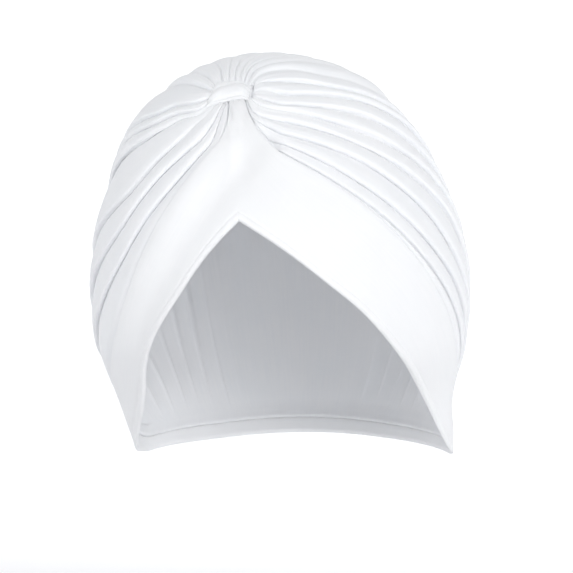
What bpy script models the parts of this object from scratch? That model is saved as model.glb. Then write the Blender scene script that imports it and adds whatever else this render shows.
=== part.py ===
"""A pre-tied turban cap of white stretch jersey, as three sewn pieces.

The face side looks along -Y, +X is the right of somebody facing the cap, +Z is up and units are metres.
The origin is where the top of a head touches the inside of the crown.
"""
import math
from collections import namedtuple

import bmesh
import bpy
from mathutils import Vector

# Main sizes
TOP_HEIGHT = 0.0030          # outside of the crown's top, above the origin
WALL = 0.0016                # jersey of the crown between its pleats
BAND_WALL = 0.0022           # the front band is doubled cloth
GAP = 0.0005                 # air left between neighbouring pieces
TUCK = 0.006                 # how far the crown's edge runs under the band
TUCK_AT_KNOT = 0.0012        # the same beside the knot, and the distance from the knot where it is full
TUCK_FULL = 0.045
NAPE_BAND_WIDTH = 0.012      # width of the band round the nape

# Pleats
CREST_SHIFT = 0.20           # how far a pleat's crest leans towards its lower valley, as a part of its width
CREST_SLOPE = 0.20           # height of a crest for its pleat's width
CREST_MAX = 0.0016
LEAN_FULL_DROP = 0.030       # pleats that pass the ear at this drop or lower lean fully
VALLEY_FULL_WIDTH = 0.006    # valleys between narrower pleats are shallower
CROWN_LEVEL = -0.0010        # level of the crown's cloth, between its valleys and its crests
INNER_RELIEF = 0.35          # how much of the relief shows inside, where the folded layers fill the pleats
BACK_RELIEF = 0.45           # share of the relief that is left at the back
BACK_START, BACK_FULL = 0.55, 0.90     # shares of a pleat's length over which its relief fades to that
FLAT_START = 0.92            # share from which it fades to nothing, under the band
CLIMB = 1.1                  # how steeply the crown may rise beside the band's edge

# The knot wrap
KNOT_X = -0.0150
KNOT_DROP = 0.0225
RING_HALF_LENGTH = 0.0080    # half length of the gathered opening that the wrap covers
RING_HALF_HEIGHT = 0.0038
LEAD_REACH = 0.0170          # distance from the knot at which a pleat's lead bearing is read
WRAP_FLOOR = -0.0003         # underside of the wrap at its ends, against the form
WRAP_RISE = 0.0030           # outside of the wrap above the form, at its middle
WRAP_WALL = 0.0010           # thickness where its edges are turned in
WRAP_EDGE = 0.35             # height of its long edges, as a part of its arch
WRAP_HOLLOW = 0.4            # height of its hollow underside, as a part of its thickness
PINCH = 0.0016               # how far the wrap presses the gathers in
PINCH_NEAR, PINCH_FAR = 0.0037, 0.0150  # distances from the knot at which that is full, and at which it ends

# Grid sizes
PLEAT_STATIONS = 22          # along each pleat, from the knot to the nape
STATION_CROWDING = 1.35      # above 1, they lie closer together near the knot
PLEAT_COLUMNS = 4            # across each pleat
TOP_STATIONS = 2             # half of the band's gathered top
NAPE_STATIONS = 20
WRAP_STEPS, WRAP_COLUMNS = 12, 6
HALVINGS = 26                # of the search for a point of the form
SHARP_ANGLE = math.radians(50)

# The form under the cloth: a row for each level, with its drop below the top, the half width, the centre
# and the reach in front of that centre and behind it
Section = namedtuple("Section", "drop half_width centre_x centre_y front back")
SECTIONS = (
    Section(0.000, 0.0000, -0.0065, 0.004, 0.000, 0.000),
    Section(0.005, 0.0285, -0.0063, 0.004, 0.029, 0.030),
    Section(0.012, 0.0434, -0.0050, 0.004, 0.045, 0.047),
    Section(0.023, 0.0575, -0.0055, 0.004, 0.063, 0.066),
    Section(0.040, 0.0700, -0.0048, 0.004, 0.080, 0.084),
    Section(0.060, 0.0792, -0.0028, 0.004, 0.093, 0.096),
    Section(0.084, 0.0867, -0.0013, 0.004, 0.104, 0.103),
    Section(0.112, 0.0903, -0.0007, 0.005, 0.108, 0.105),
    Section(0.140, 0.0882, -0.0006, 0.007, 0.107, 0.100),
    Section(0.165, 0.0804, 0.0009, 0.012, 0.104, 0.088),
    Section(0.196, 0.0776, 0.0035, 0.020, 0.100, 0.064),
)
FORM_CENTRE = Vector((0.0, 0.0, -0.105))
FORM_REACH = 0.2             # more than the form's radius anywhere

# Valleys between pleats, from the right edge of the band over the top to its left edge. Columns: side of the
# head, bearing round the knot at the gathers and further out, drops where the valley crosses the brow, temple
# and ear bearings, bearing and drop of a point on the back, bearing at the nape, and the valley's depth.
# Over the top of the head a valley runs straight from the knot to the ear bearing, with no brow or temple.
Valley = namedtuple("Valley", "name side bearing lead brow temple ear back_bearing back nape depth")
VALLEYS = (
    Valley("band_right", 1, -40, -55, 0.0570, 0.0950, 0.1520, 101, 0.176, 116, 0.0005),
    Valley("right_8b", 1, -38, -54, 0.0555, 0.0910, 0.1380, 104, 0.168, 121, 0.0010),
    Valley("right_8", 1, -35, -51, 0.0495, 0.0790, 0.1260, 108, 0.160, 127, 0.0012),
    Valley("right_7", 1, -31, -46, 0.0450, 0.0640, 0.1100, 113, 0.150, 132, 0.0013),
    Valley("right_6", 1, -25, -38, 0.0375, 0.0520, 0.0870, 119, 0.138, 138, 0.0013),
    Valley("right_5", 1, -18, -24, 0.0320, 0.0430, 0.0680, 125, 0.124, 143, 0.0013),
    Valley("right_4", 1, -11, -12, 0.0290, 0.0330, 0.0530, 131, 0.112, 149, 0.0014),
    Valley("right_3", 1, 0, 2, 0.0240, 0.0250, 0.0380, 137, 0.100, 154, 0.0013),
    Valley("right_2", 1, 14, 15, 0.0180, 0.0200, 0.0280, 144, 0.088, 159, 0.0012),
    Valley("right_1", 1, 28, 30, 0.0110, 0.0130, 0.0190, 152, 0.078, 164, 0.0012),
    Valley("top_1", 1, 44, 46, None, None, 0.0090, 161, 0.070, 169, 0.0010),
    Valley("top_2", 1, 60, 62, None, None, 0.0036, 169, 0.064, 174, 0.0009),
    Valley("top_3", 1, 77, 78, None, None, 0.0010, 177, 0.062, 179, 0.0009),
    Valley("top_4", -1, 94, 95, None, None, 0.0001, 185, 0.062, 184, 0.0009),
    Valley("top_5", -1, 112, 112, None, None, 0.0015, 193, 0.064, 189, 0.0010),
    Valley("top_6", -1, 133, 133, None, None, 0.0056, 202, 0.070, 195, 0.0012),
    Valley("top_7", -1, 157, 157, None, None, 0.0112, 210, 0.076, 201, 0.0012),
    Valley("top_8", -1, 176, 176, None, None, 0.0175, 215, 0.084, 206, 0.0012),
    Valley("left_1", -1, 196, 196, 0.0280, 0.0310, 0.0400, 221, 0.097, 212, 0.0013),
    Valley("left_2", -1, 206, 208, 0.0315, 0.0370, 0.0500, 227, 0.108, 217, 0.0012),
    Valley("left_3", -1, 215, 214, 0.0360, 0.0440, 0.0630, 233, 0.119, 222, 0.0012),
    Valley("left_4", -1, 230, 227, 0.0500, 0.0710, 0.0980, 241, 0.138, 228, 0.0015),
    Valley("left_5", -1, 248, 240, 0.0610, 0.0880, 0.1240, 249, 0.152, 234, 0.0012),
    Valley("left_6", -1, 272, 254, 0.0765, 0.1060, 0.1460, 255, 0.164, 240, 0.0012),
    Valley("band_left", -1, 300, 279, 0.0925, 0.1360, 0.1680, 261, 0.178, 246, 0.0005),
)
BROW_RIGHT, BROW_LEFT, TEMPLE, EAR = 12, 28, 45, 85

# The hem's points from the peak over the forehead back to the nape on each side, with how far the cloth is
# drawn in from the form to hug the cheek
HemPoint = namedtuple("HemPoint", "bearing drop hug")
PEAK = HemPoint(-2, 0.0835, 0.0)
HEM_RIGHT = (
    PEAK, HemPoint(10, 0.0975, 0.0), HemPoint(20, 0.1110, 0.0), HemPoint(31, 0.1250, 0.001),
    HemPoint(46, 0.1450, 0.003), HemPoint(60, 0.1590, 0.005), HemPoint(76, 0.1730, 0.006),
    HemPoint(95, 0.1900, 0.002), HemPoint(116, 0.1950, 0.0), HemPoint(145, 0.1910, 0.0),
    HemPoint(180, 0.1880, 0.0),
)
HEM_LEFT = (
    PEAK, HemPoint(-11, 0.1000, 0.0), HemPoint(-19, 0.1180, 0.0), HemPoint(-28, 0.1350, 0.001),
    HemPoint(-38, 0.1510, 0.004), HemPoint(-52, 0.1680, 0.007), HemPoint(-68, 0.1810, 0.007),
    HemPoint(-92, 0.1930, 0.003), HemPoint(-114, 0.1950, 0.0), HemPoint(-145, 0.1910, 0.0),
    HemPoint(-180, 0.1880, 0.0),
)
NAPE_START = 8               # the row of each side's hem where the band turns narrow
HEM_CORNER = 0.01            # share of the hem, beside the peak, that the band's gathered top spreads over

# A shallow valley crosses the band from right of the knot to the left hem, with a soft roll above it
BandValley = namedtuple("BandValley", "x drop")
VALLEY_TOP = BandValley(0.0027, 0.0523)
VALLEY_FOOT = BandValley(-0.0275, 0.0963)
BAND_VALLEY_DEPTH = 0.0009
BAND_VALLEY_WIDTH = 0.0085
ROLL_HEIGHT = 0.0009
ROLL_OFFSET = 0.0150
ROLL_WIDTH = 0.0100
RELIEF_START, RELIEF_END = (-0.35, 0.15), (0.80, 1.60)   # shares of the valley's run over which it fades

# The wrap's outline: a row for each station along it, with its lower and upper edge from the knot's height
WrapStation = namedtuple("WrapStation", "along lower upper")
WRAP_STATIONS = (
    WrapStation(-0.0105, -0.0062, 0.0024),
    WrapStation(-0.0060, -0.0052, 0.0048),
    WrapStation(0.0000, -0.0040, 0.0062),
    WrapStation(0.0060, -0.0042, 0.0058),
    WrapStation(0.0105, -0.0046, 0.0034),
)

# Finishes: base colour, roughness
WHITE_JERSEY = (0.90, 0.91, 0.93, 1.0)
JERSEY_ROUGHNESS = 0.85


def smooth_value(stations, values, place):
    """Reads a smooth curve through the given values, which may be numbers or vectors, at one place."""
    last = len(stations) - 1
    place = min(max(place, stations[0]), stations[last])
    first = 0
    while first < last - 1 and place > stations[first + 1]:
        first += 1

    def slope(index):
        low, high = max(index - 1, 0), min(index + 1, last)
        return (values[high] - values[low]) / (stations[high] - stations[low])

    span = stations[first + 1] - stations[first]
    k = (place - stations[first]) / span
    start = values[first] * (2 * k ** 3 - 3 * k ** 2 + 1) + slope(first) * ((k ** 3 - 2 * k ** 2 + k) * span)
    end = values[first + 1] * (3 * k ** 2 - 2 * k ** 3) + slope(first + 1) * ((k ** 3 - k ** 2) * span)
    return start + end


def ease(low, high, value):
    """Rises smoothly from 0 at low to 1 at high."""
    k = min(max((value - low) / (high - low), 0.0), 1.0)
    return k * k * (3 - 2 * k)


# The levels are read against the root of the drop, which keeps the top round
LEVELS = [math.sqrt(row.drop) for row in SECTIONS]
SECTION_COLUMNS = list(zip(*SECTIONS))[1:]


def outside_form(point):
    """Above 0 outside the form and below 0 inside it."""
    drop = TOP_HEIGHT - point.z
    if drop <= 0:
        return 1.0
    half_width, centre_x, centre_y, front, back = (
        smooth_value(LEVELS, column, math.sqrt(drop)) for column in SECTION_COLUMNS)
    reach = front if point.y < centre_y else back
    return ((point.x - centre_x) / half_width) ** 2 + ((point.y - centre_y) / reach) ** 2 - 1


def form_hit(start, direction):
    """The point where a ray from inside the form leaves it."""
    low, high = 0.0, FORM_REACH
    for _ in range(HALVINGS):
        middle = (low + high) / 2
        if outside_form(start + direction * middle) > 0:
            high = middle
        else:
            low = middle
    return start + direction * low


def on_form(point):
    """Moves a point onto the form, straight away from the form's centre."""
    return form_hit(FORM_CENTRE, (point - FORM_CENTRE).normalized())


def form_at(bearing, drop):
    """The form's point at a bearing round the head, 0 in front and 90 at +X, and at a drop below the top."""
    turn = math.radians(bearing)
    axis = Vector((smooth_value(LEVELS, SECTION_COLUMNS[1], math.sqrt(drop)), 0.0, TOP_HEIGHT - drop))
    return form_hit(axis, Vector((math.sin(turn), -math.cos(turn), 0.0)))


def front_at(x, drop):
    """The form's point on the face side at an x and a drop below the top."""
    return form_hit(Vector((x, 0.0, TOP_HEIGHT - drop)), Vector((0.0, -1.0, 0.0)))


def lift(point, height):
    """Moves a point of the form out or in along the line from the form's centre."""
    return point + (point - FORM_CENTRE).normalized() * height


def near_knot(bearing, reach_x, reach_z):
    """The form's point at a bearing round the knot, 0 towards +X and 90 up."""
    turn = math.radians(bearing)
    return front_at(KNOT_X + reach_x * math.cos(turn), KNOT_DROP - reach_z * math.sin(turn))


def valley_points(row):
    """The points of the form that a valley's line runs through."""
    points = [near_knot(row.bearing, RING_HALF_LENGTH, RING_HALF_HEIGHT),
              near_knot(row.lead, LEAD_REACH, LEAD_REACH)]
    if row.brow is not None:
        points.append(form_at(BROW_RIGHT if row.side > 0 else -BROW_LEFT, row.brow))
        points.append(form_at(row.side * TEMPLE, row.temple))
    nape_drop = smooth_value(*NAPE_HEM, row.nape) - NAPE_BAND_WIDTH
    return points + [form_at(row.side * EAR, row.ear), form_at(row.back_bearing, row.back),
                     form_at(row.nape, nape_drop)]


# Bearings and drops of the nape's hem, from the right side round the back to the left
NAPE_ROWS = HEM_RIGHT[NAPE_START:] + tuple(
    HemPoint(360 + point.bearing, point.drop, point.hug) for point in reversed(HEM_LEFT[NAPE_START:-1]))
NAPE_HEM = ([point.bearing for point in NAPE_ROWS], [point.drop for point in NAPE_ROWS])


def nape_hem_point(share):
    """The hem's point at a share of the way round the nape, from right to left."""
    first, last = VALLEYS[0].nape, VALLEYS[-1].nape
    bearing = first + (last - first) * share
    return form_at(bearing, smooth_value(*NAPE_HEM, bearing))


def length_shares(line):
    """The share of a line's length at which each of its points lies."""
    lengths = [0.0]
    for before, after in zip(line, line[1:]):
        lengths.append(lengths[-1] + (after - before).length)
    return [length / lengths[-1] for length in lengths]


def hem_line(points):
    """The points of one side's hem on the form, drawn in where it hugs the cheek, and their shares."""
    line = [lift(form_at(point.bearing, point.drop), -point.hug) for point in points]
    return length_shares(line), line


def pleat_stations():
    """Shares along a pleat, closer together near the knot."""
    return [(step / (PLEAT_STATIONS - 1)) ** STATION_CROWDING for step in range(PLEAT_STATIONS)]


def valley_lines():
    """Each valley's line, as points of the form at the pleat stations."""
    lines = []
    for row in VALLEYS:
        points = valley_points(row)
        shares = length_shares(points)
        lines.append([on_form(smooth_value(shares, points, share)) for share in pleat_stations()])
    return lines


def crest_profile(across, crest):
    """Height across a pleat, 0 in both valleys and 1 at the crest, which may lean to one side."""
    if crest < 0.5:
        across, crest = 1 - across, 1 - crest
    return math.sin(math.pi * across ** (math.log(0.5) / math.log(crest)))


def crest_place(row, after):
    """Where a pleat's crest lies between its valleys: towards the lower valley on the sides of the head."""
    steepness = min(1.0, (row.ear + after.ear) / 2 / LEAN_FULL_DROP)
    return 0.5 - CREST_SHIFT * steepness * row.side


def pinch(point):
    """How far the wrap draws the cloth in round the knot."""
    distance = (point - front_at(KNOT_X, KNOT_DROP)).length
    return PINCH * (1 - ease(PINCH_NEAR, PINCH_FAR, distance))


def crown_levels(lines, pleat, column, station):
    """The form's point, and the outer and the inner level of the crown there."""
    across = column / PLEAT_COLUMNS
    before, after = VALLEYS[pleat], VALLEYS[min(pleat + 1, len(VALLEYS) - 1)]
    start, end = lines[pleat][station], lines[min(pleat + 1, len(lines) - 1)][station]
    point = on_form(start.lerp(end, across))
    share = pleat_stations()[station]
    strength = 1 - (1 - BACK_RELIEF) * ease(BACK_START, BACK_FULL, share)
    strength *= 1 - ease(FLAT_START, 1.0, share)
    width = (end - start).length
    crest = min(CREST_MAX, CREST_SLOPE * width) * strength
    depth = before.depth * (1 - across) + after.depth * across
    valley = -depth * strength * min(1.0, width / VALLEY_FULL_WIDTH)
    height = crest_profile(across, crest_place(before, after)) if width > 0 else 0.0
    relief = valley + (crest - valley) * height
    pressed = pinch(point)
    from_band = min((point - lines[0][station]).length, (point - lines[-1][station]).length)
    most = CLIMB * max(0.0, from_band - GAP) - BAND_WALL - GAP
    outer = min(CROWN_LEVEL + relief, most) - pressed
    return point, outer, min(CROWN_LEVEL + relief * INNER_RELIEF - pressed, outer) - WALL


def mesh_from_rows(rows, close_rows, close_columns):
    """A quad mesh through rows of points, joined end to end where asked."""
    mesh = bmesh.new()
    grid = [[mesh.verts.new(point) for point in row] for row in rows]
    row_pairs = list(zip(grid, grid[1:])) + ([(grid[-1], grid[0])] if close_rows else [])
    for row, following in row_pairs:
        count = len(row)
        for index in range(count if close_columns else count - 1):
            beside = (index + 1) % count
            mesh.faces.new((row[index], row[beside], following[beside], following[index]))
    return mesh


def finish_piece(name, mesh, material, collection):
    """Turns a bmesh into a named object with outward faces, smooth shading and a material."""
    bmesh.ops.recalc_face_normals(mesh, faces=mesh.faces)
    bmesh.ops.triangulate(mesh, faces=mesh.faces, quad_method="SHORT_EDGE")
    data = bpy.data.meshes.new(name)
    mesh.to_mesh(data)
    mesh.free()
    data.shade_smooth()
    data.set_sharp_from_angle(angle=SHARP_ANGLE)
    data.materials.append(material)
    piece = bpy.data.objects.new(name, data)
    collection.objects.link(piece)
    return piece


def jersey(name):
    """White knitted cloth."""
    material = bpy.data.materials.new(name)
    material.use_nodes = True
    shader = material.node_tree.nodes["Principled BSDF"]
    shader.inputs["Base Color"].default_value = WHITE_JERSEY
    shader.inputs["Roughness"].default_value = JERSEY_ROUGHNESS
    shader.inputs["Metallic"].default_value = 0.0
    return material


def band_rails(lines):
    """The band's upper edge and hem, as pairs of points all the way round from the peak by the right side."""
    upper, lower = [], []

    def leg(line, hem, turn_start, turn_end):
        shares, points = hem_line(hem)
        end_share = shares[NAPE_START]
        rail = []
        for step in range(TOP_STATIONS):
            bearing = turn_start + (turn_end - turn_start) * step / TOP_STATIONS
            rail.append((near_knot(bearing, RING_HALF_LENGTH, RING_HALF_HEIGHT),
                         smooth_value(shares, points, HEM_CORNER * step / TOP_STATIONS)))
        for point, share in zip(line, pleat_stations()):
            hem_share = HEM_CORNER + (end_share - HEM_CORNER) * share
            rail.append((point, smooth_value(shares, points, hem_share)))
        return rail

    middle = (VALLEYS[0].bearing + VALLEYS[-1].bearing - 360) / 2
    right = leg(lines[0], HEM_RIGHT, middle, VALLEYS[0].bearing)
    left = leg(lines[-1], HEM_LEFT, middle, VALLEYS[-1].bearing - 360)
    for top, bottom in right:
        upper.append(top)
        lower.append(bottom)
    for step in range(1, NAPE_STATIONS):
        place = step / NAPE_STATIONS * (len(VALLEYS) - 1)
        pleat = int(place)
        upper.append(on_form(lines[pleat][-1].lerp(lines[pleat + 1][-1], place - pleat)))
        lower.append(nape_hem_point(step / NAPE_STATIONS))
    for top, bottom in reversed(left[1:]):
        upper.append(top)
        lower.append(bottom)
    return upper, lower


# The band's section: distance from the upper edge or from the hem, or a share between them, with the outer
# and inner level. The inside is smoother and has fewer points.
BandPoint = namedtuple("BandPoint", "from_edge from_hem share outer inner")
BAND_SECTION = (
    BandPoint(0.0000, None, None, -0.0002, -0.0014),
    BandPoint(0.0012, None, None, 0.0005, None),
    BandPoint(0.0060, None, None, 0.0006, -0.0017),
    BandPoint(None, None, 0.20, 0.0005, -0.0018),
    BandPoint(None, None, 0.40, 0.0003, -0.0019),
    BandPoint(None, None, 0.60, 0.0001, -0.0021),
    BandPoint(None, None, 0.80, 0.0000, -0.0022),
    BandPoint(None, 0.0050, None, 0.0000, -0.0022),
    BandPoint(None, 0.0030, None, 0.0006, None),
    BandPoint(None, 0.0008, None, 0.0005, None),
    BandPoint(None, 0.0000, None, -0.0004, -0.0016),
)
EDGE_ROW, HEM_ROW = BAND_SECTION[2].from_edge, BAND_SECTION[7].from_hem


def band_share(part, width):
    """How far across the band, from its upper edge, a point of its section lies."""
    if part.from_edge is not None:
        return part.from_edge / width
    if part.from_hem is not None:
        return 1 - part.from_hem / width
    return (EDGE_ROW + part.share * (width - EDGE_ROW - HEM_ROW)) / width


def make_crown(lines, collection):
    """The pleated crown: a grid from the knot to the nape, with an edge that runs under the band."""
    last = len(VALLEYS) - 1
    columns = [(pleat, column) for pleat in range(last) for column in range(PLEAT_COLUMNS)] + [(last, 0)]
    outer, inner = [], []
    for station in range(PLEAT_STATIONS):
        placed = [crown_levels(lines, pleat, column, station) for pleat, column in columns]
        outer.append([lift(point, level) for point, level, _ in placed])
        inner.append([lift(point, level) for point, _, level in placed])
    mesh = bmesh.new()

    def sheet(rows):
        return [[mesh.verts.new(point) for point in row] for row in rows]

    outside, inside = sheet(outer), sheet(inner)
    for grid in (outside, inside):
        for row, following in zip(grid, grid[1:]):
            for index in range(len(row) - 1):
                mesh.faces.new((row[index], row[index + 1], following[index + 1], following[index]))

    # The border runs down the right edge, round the nape and up the left edge
    def border(grid):
        return [row[0] for row in grid] + grid[-1][1:-1] + [row[-1] for row in reversed(grid)]

    def strip(first, second):
        for a, b, c, d in zip(first, first[1:], second[1:], second):
            mesh.faces.new((a, b, c, d))

    edge_out, edge_in = border(outside), border(inside)
    rails = tuck_rails(lines, columns)
    tuck_out, tuck_in = [], []
    for index, (vertex, inner_vertex, (top, bottom)) in enumerate(zip(edge_out, edge_in, rails)):
        level = band_level(top, bottom, 0.0) - BAND_WALL - GAP
        vertex.co = lift(top, level)
        inner_vertex.co = lift(top, level - WALL)
        before, after = rails[max(index - 1, 0)][0], rails[min(index + 1, len(rails) - 1)][0]
        along = (after - before).normalized()
        across = bottom - top
        across -= along * across.dot(along)
        from_knot = (top - front_at(KNOT_X, KNOT_DROP)).length
        reach = TUCK_AT_KNOT + (TUCK - TUCK_AT_KNOT) * ease(RING_HALF_LENGTH, TUCK_FULL, from_knot)
        base = on_form(top + across.normalized() * reach)
        level = band_level(base, bottom, reach / (bottom - top).length) - BAND_WALL - GAP
        tuck_out.append(mesh.verts.new(lift(base, level)))
        tuck_in.append(mesh.verts.new(lift(base, level - WALL)))
    strip(edge_out, tuck_out)
    strip(edge_in, tuck_in)
    strip(tuck_out, tuck_in)
    knot_out = [tuck_out[-1]] + list(reversed(outside[0])) + [tuck_out[0]]
    knot_in = [tuck_in[-1]] + list(reversed(inside[0])) + [tuck_in[0]]
    strip(knot_out, knot_in)
    return finish_piece("crown", mesh, jersey("crown_jersey"), collection)


def tuck_rails(lines, columns):
    """The band's upper edge and hem beside each point of the crown's border."""
    rail = list(zip(*band_rails(lines)))
    left_start = len(rail) - (TOP_STATIONS - 1) - PLEAT_STATIONS
    nape = []
    for index, (pleat, column) in enumerate(columns[1:-1], start=1):
        after = min(pleat + 1, len(lines) - 1)
        edge = on_form(lines[pleat][-1].lerp(lines[after][-1], column / PLEAT_COLUMNS))
        nape.append((edge, nape_hem_point(index / (len(columns) - 1))))
    right, left = rail[TOP_STATIONS:], rail[left_start:]
    return right[:PLEAT_STATIONS] + nape + left[:PLEAT_STATIONS]


def band_relief(point):
    """The shallow valley across the front of the band, and the soft roll above it."""
    if point.y > 0:
        return 0.0
    run, fall = VALLEY_FOOT.x - VALLEY_TOP.x, VALLEY_TOP.drop - VALLEY_FOOT.drop
    length = math.hypot(run, fall)
    x, z = point.x - VALLEY_TOP.x, point.z - TOP_HEIGHT + VALLEY_TOP.drop
    along = (x * run + z * fall) / length ** 2
    aside = (x * fall - z * run) / length
    fade = ease(*RELIEF_START, along) * (1 - ease(*RELIEF_END, along))
    valley = math.exp(-(aside / BAND_VALLEY_WIDTH) ** 2)
    roll = math.exp(-((aside - ROLL_OFFSET) / ROLL_WIDTH) ** 2)
    return fade * (ROLL_HEIGHT * roll - BAND_VALLEY_DEPTH * valley)


def band_level(base, bottom, share):
    """The band's level on the form: its soft relief, the cheek that it hugs and the wrap's pinch."""
    return band_relief(base) - (bottom - on_form(bottom)).length * share ** 2 - pinch(base)


def make_front_band(lines, collection):
    """The doubled band: broad over the forehead, narrow round the nape, one closed loop."""
    rows = []
    for top, bottom in zip(*band_rails(lines)):
        width = (bottom - top).length
        outer, inner = [], []
        for part in BAND_SECTION:
            share = band_share(part, width)
            base = on_form(top.lerp(bottom, share))
            level = band_level(base, bottom, share)
            outer.append(lift(base, level + part.outer))
            if part.inner is not None:
                inner.append(lift(base, level + part.inner))
        rows.append(outer + list(reversed(inner)))
    mesh = mesh_from_rows(rows, close_rows=True, close_columns=True)
    return finish_piece("front_band", mesh, jersey("band_jersey"), collection)


def make_knot_wrap(collection):
    """The short strip over the gathers: arched, rounded at its edges and turned in at both ends."""
    stations, lowers, uppers = zip(*WRAP_STATIONS)
    rows = []
    for step in range(WRAP_STEPS + 1):
        along = stations[0] + (stations[-1] - stations[0]) * step / WRAP_STEPS
        low, high = smooth_value(stations, lowers, along), smooth_value(stations, uppers, along)
        from_middle = abs(2 * step / WRAP_STEPS - 1)
        arch = math.sqrt(1 - from_middle ** 3)
        outer, inner = [], []
        for cross in range(WRAP_COLUMNS + 1):
            across = cross / WRAP_COLUMNS
            base = front_at(KNOT_X + along, KNOT_DROP - (low + (high - low) * across))
            edge = WRAP_EDGE + (1 - WRAP_EDGE) * math.sqrt(max(0.0, math.sin(math.pi * across)))
            rise = WRAP_WALL + (WRAP_RISE - WRAP_FLOOR) * arch * edge
            outer.append(lift(base, WRAP_FLOOR + rise))
            inner.append(lift(base, WRAP_FLOOR + min(WRAP_HOLLOW * rise, rise - WRAP_WALL)))
        rows.append(outer + list(reversed(inner)))
    mesh = mesh_from_rows(rows, close_rows=False, close_columns=True)
    mesh.verts.ensure_lookup_table()
    size = len(rows[0])
    for offset in (0, size * WRAP_STEPS):
        ring = [mesh.verts[offset + index] for index in range(size)]
        for index in range(WRAP_COLUMNS):
            mesh.faces.new((ring[index], ring[index + 1], ring[size - 2 - index], ring[size - 1 - index]))
    return finish_piece("knot_wrap", mesh, jersey("wrap_jersey"), collection)


def main():
    for item in list(bpy.data.objects):
        bpy.data.objects.remove(item, do_unlink=True)
    collection = bpy.data.collections.new("pre_tied_turban_cap")
    bpy.context.scene.collection.children.link(collection)
    lines = valley_lines()
    make_crown(lines, collection)
    make_front_band(lines, collection)
    make_knot_wrap(collection)


main()
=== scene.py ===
# %% [markdown]
# A pre-tied turban cap in white stretch jersey. The imported model is a fixed frame: it has the right sizes and
# places, and this script dresses it in finer cloth. Everything is in metres, +Z is up and the face side looks
# along -Y. The size of the frame is kept.

# %% Load the frame
import math

import bpy
import numpy as np
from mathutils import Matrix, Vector
from mathutils.bvhtree import BVHTree


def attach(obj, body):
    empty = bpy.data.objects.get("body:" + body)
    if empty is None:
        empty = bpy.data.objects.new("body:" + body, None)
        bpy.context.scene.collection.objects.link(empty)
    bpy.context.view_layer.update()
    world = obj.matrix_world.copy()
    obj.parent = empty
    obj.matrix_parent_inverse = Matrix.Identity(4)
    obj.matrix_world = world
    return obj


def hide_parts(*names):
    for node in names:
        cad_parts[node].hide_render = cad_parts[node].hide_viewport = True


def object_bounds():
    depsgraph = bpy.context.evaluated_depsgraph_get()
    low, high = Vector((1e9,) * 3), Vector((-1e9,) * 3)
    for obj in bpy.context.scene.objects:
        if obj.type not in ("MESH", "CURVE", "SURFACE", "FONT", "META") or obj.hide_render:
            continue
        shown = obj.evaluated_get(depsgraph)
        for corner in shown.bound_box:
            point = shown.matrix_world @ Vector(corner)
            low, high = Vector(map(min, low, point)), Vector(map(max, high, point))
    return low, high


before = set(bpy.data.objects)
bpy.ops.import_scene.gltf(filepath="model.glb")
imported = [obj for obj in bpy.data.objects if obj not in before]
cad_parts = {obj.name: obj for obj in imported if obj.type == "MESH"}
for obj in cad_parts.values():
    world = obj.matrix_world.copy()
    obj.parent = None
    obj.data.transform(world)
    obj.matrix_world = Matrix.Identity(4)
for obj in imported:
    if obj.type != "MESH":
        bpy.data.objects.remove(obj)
cad_low, cad_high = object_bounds()
print("frame:", sorted(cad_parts), [round(1000 * size, 1) for size in cad_high - cad_low], "mm")

# %% [markdown]
# The camera looks level at the cap from a little to its right, as the photograph does. Its field is given by
# the width that it covers at the cap's distance, so one number says how large the cap appears.

# %% Camera
AZIMUTH = math.radians(8)
DISTANCE = 1.1
FIELD_WIDTH = 0.2745             # what the picture's width covers at that distance
AIM_DROP = 0.1123                # the aim lies this far below the crown's top
AIM_SIDE = 0.0024
TOP_HEIGHT = 0.0030

right_of_view = Vector((math.cos(AZIMUTH), math.sin(AZIMUTH), 0))
back_of_view = Vector((math.sin(AZIMUTH), -math.cos(AZIMUTH), 0))
aim = Vector((0, 0, TOP_HEIGHT - AIM_DROP)) + right_of_view * AIM_SIDE

camera_data = bpy.data.cameras.new("camera")
camera_data.lens = camera_data.sensor_width * DISTANCE / FIELD_WIDTH
camera = bpy.data.objects.new("camera", camera_data)
camera.location = aim + back_of_view * DISTANCE
camera.rotation_euler = (-back_of_view).to_track_quat("-Z", "Y").to_euler()
bpy.context.scene.collection.objects.link(camera)
bpy.context.scene.camera = camera
print("camera lens:", round(camera_data.lens, 1), "mm")

# %% [markdown]
# Stretch cloth over a head follows the head. So the cap starts as a plain form: for each level below the top,
# an ellipse with its own reach in front and behind. Pleats, band and knot are all laid on that form. A smooth
# curve through few rows gives every level between them, and numpy reads it for all points at once.

# %% Smooth curves
def smooth_curve(stations, values, places):
    """Reads a smooth curve through rows of values at many places."""
    stations, values = np.asarray(stations, float), np.asarray(values, float)
    places = np.clip(places, stations[0], stations[-1])
    first = np.clip(np.searchsorted(stations, places, side="right") - 1, 0, len(stations) - 2)
    numbers = np.arange(len(stations))
    low, high = np.maximum(numbers - 1, 0), np.minimum(numbers + 1, len(stations) - 1)
    wide = (slice(None),) + (None,) * (values.ndim - 1)
    slopes = (values[high] - values[low]) / (stations[high] - stations[low])[wide]
    span = stations[first + 1] - stations[first]
    k = (places - stations[first]) / span
    if values.ndim > 1:
        span, k = span[..., None], k[..., None]
    start = values[first] * (2 * k ** 3 - 3 * k ** 2 + 1) + slopes[first] * ((k ** 3 - 2 * k ** 2 + k) * span)
    end = values[first + 1] * (3 * k ** 2 - 2 * k ** 3) + slopes[first + 1] * ((k ** 3 - k ** 2) * span)
    return start + end


def ease(low, high, value):
    """Rises smoothly from 0 at low to 1 at high."""
    k = np.clip((np.asarray(value, float) - low) / (high - low), 0, 1)
    return k * k * (3 - 2 * k)


print("half way up an ease:", ease(0, 1, 0.5))

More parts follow.
